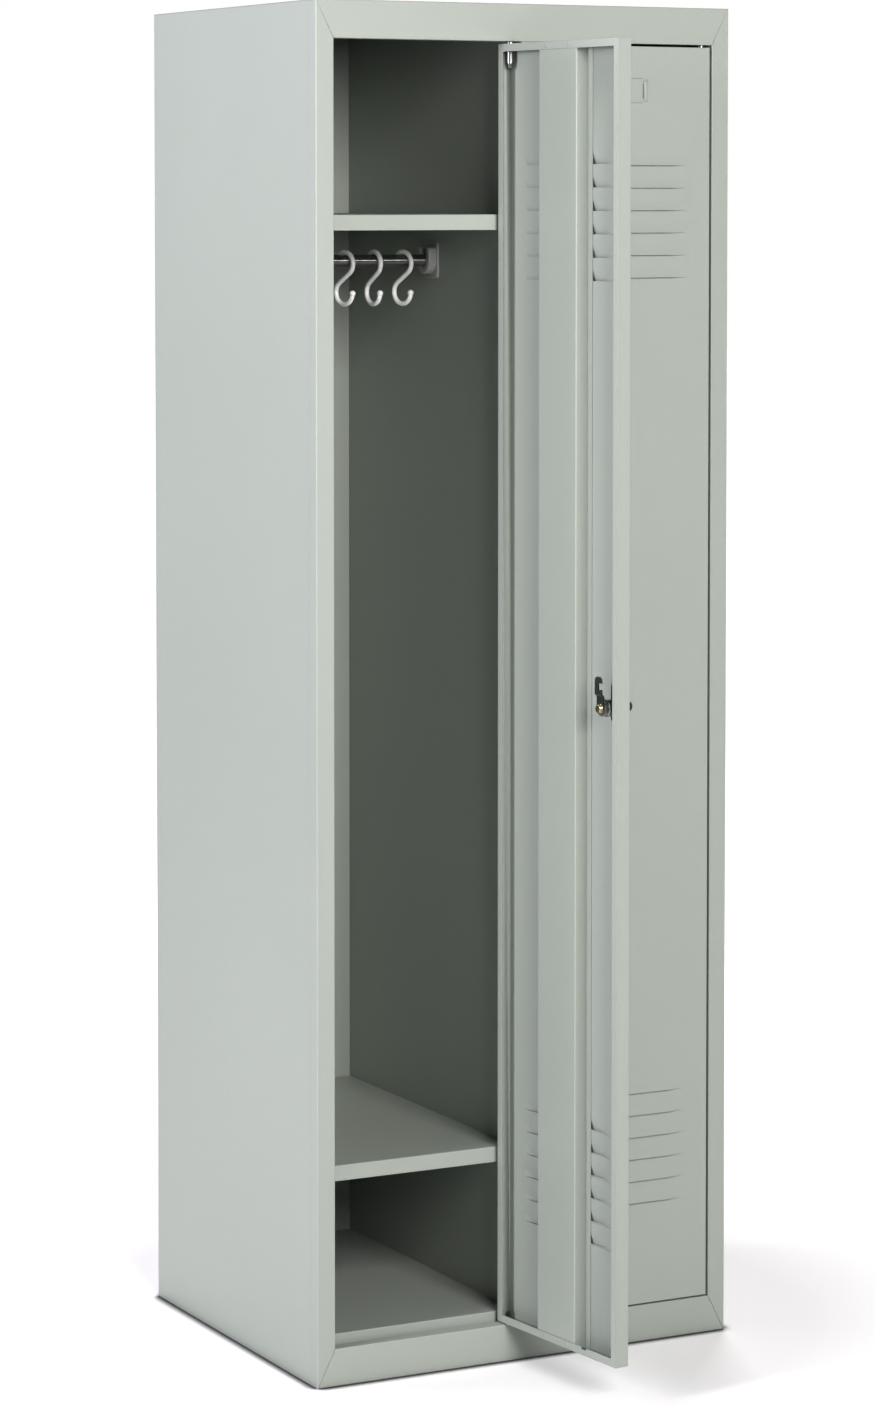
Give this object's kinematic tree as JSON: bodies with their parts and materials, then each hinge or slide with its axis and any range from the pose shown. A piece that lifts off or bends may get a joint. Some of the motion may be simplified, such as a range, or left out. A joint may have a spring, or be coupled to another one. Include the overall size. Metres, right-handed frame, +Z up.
{
  "type": "metal clothes locker",
  "caption": "Upright sheet-steel clothes locker with side-by-side compartments, louvred hinged doors with cam locks, shelves, coat rods and hanging hooks.",
  "frame": {"origin": "middle of the footprint, on the floor", "axes": "+X to the right seen from the front, +Y to the back, +Z up"},
  "size_m": [0.6, 0.7444, 1.75],
  "materials": {
    "painted_sheet": "satin powder coat, light grey",
    "chrome_rod": "polished",
    "grey_plastic": "moulded, light grey",
    "plated_steel": "zinc plated",
    "zinc": "die cast, satin plating",
    "dark_steel": "dark plated"
  },
  "bodies": {
    "cabinet": {"left_side_panel": "painted_sheet", "right_side_panel": "painted_sheet", "partition": "painted_sheet", "left_side_panel_flanges": "painted_sheet", "right_side_panel_flanges": "painted_sheet", "partition_flanges": "painted_sheet", "left_stile": "painted_sheet", "right_stile": "painted_sheet", "centre_stile": "painted_sheet", "roof_panel": "painted_sheet", "bottom_rail": "painted_sheet", "back_panel": "painted_sheet", "left_upper_shelf": "painted_sheet", "left_lower_shelf": "painted_sheet", "left_floor": "painted_sheet", "left_coat_rod": "chrome_rod", "left_rod_sockets": "grey_plastic", "right_upper_shelf": "painted_sheet", "right_lower_shelf": "painted_sheet", "right_floor": "painted_sheet", "right_coat_rod": "chrome_rod", "right_rod_sockets": "grey_plastic"},
    "left_door": {"left_door_panel": "painted_sheet", "left_door_stiffener": "painted_sheet", "left_hinge_pins": "plated_steel", "left_lock_body": "zinc"},
    "left_lock": {"left_lock_plug": "zinc", "left_lock_cam": "dark_steel", "left_key": "dark_steel"},
    "right_door": {"right_door_panel": "painted_sheet", "right_door_stiffener": "painted_sheet", "right_hinge_pins": "plated_steel", "right_lock_body": "zinc"},
    "right_lock": {"right_lock_plug": "zinc", "right_lock_cam": "dark_steel", "right_key": "dark_steel"},
    "left_coat_hook_1": {"left_coat_hook_1": "grey_plastic"},
    "left_coat_hook_2": {"left_coat_hook_2": "grey_plastic"},
    "left_coat_hook_3": {"left_coat_hook_3": "grey_plastic"},
    "right_coat_hook_1": {"right_coat_hook_1": "grey_plastic"},
    "right_coat_hook_2": {"right_coat_hook_2": "grey_plastic"},
    "right_coat_hook_3": {"right_coat_hook_3": "grey_plastic"}
  },
  "joints": [
    {"name": "left_door_hinge", "type": "hinge", "parent": "cabinet", "child": "left_door", "pos_m": [-0.0205, -0.242, 0], "axis": [0, 0, 1], "range_deg": [-95.7, 14.3]},
    {"name": "left_lock_turn", "type": "hinge", "parent": "left_door", "child": "left_lock", "pos_m": [0.0014, -0.46141, 0.871], "axis": [0.9951, 0.0993, 0], "range_deg": [0, 90]},
    {"name": "right_door_hinge", "type": "hinge", "parent": "cabinet", "child": "right_door", "pos_m": [0.2625, -0.242, 0], "axis": [0, 0, 1], "range_deg": [0, 110]},
    {"name": "right_lock_turn", "type": "hinge", "parent": "right_door", "child": "right_lock", "pos_m": [0.042, -0.242, 0.871], "axis": [0, -1, 0], "range_deg": [0, 90]},
    {"name": "left_hook_1_swing", "type": "hinge", "parent": "cabinet", "child": "left_coat_hook_1", "pos_m": [-0.137, -0.001, 1.42], "axis": [1, 0, 0], "range_deg": [-45, 45]},
    {"name": "left_hook_2_swing", "type": "hinge", "parent": "cabinet", "child": "left_coat_hook_2", "pos_m": [-0.094, -0.001, 1.42], "axis": [1, 0, 0], "range_deg": [-45, 45]},
    {"name": "left_hook_3_swing", "type": "hinge", "parent": "cabinet", "child": "left_coat_hook_3", "pos_m": [-0.051, -0.001, 1.42], "axis": [1, 0, 0], "range_deg": [-45, 45]},
    {"name": "right_hook_1_swing", "type": "hinge", "parent": "cabinet", "child": "right_coat_hook_1", "pos_m": [0.1702, -0.001, 1.42], "axis": [1, 0, 0], "range_deg": [-45, 45]},
    {"name": "right_hook_2_swing", "type": "hinge", "parent": "cabinet", "child": "right_coat_hook_2", "pos_m": [0.2132, -0.001, 1.42], "axis": [1, 0, 0], "range_deg": [-45, 45]},
    {"name": "right_hook_3_swing", "type": "hinge", "parent": "cabinet", "child": "right_coat_hook_3", "pos_m": [0.2562, -0.001, 1.42], "axis": [1, 0, 0], "range_deg": [-45, 45]}
  ]
}
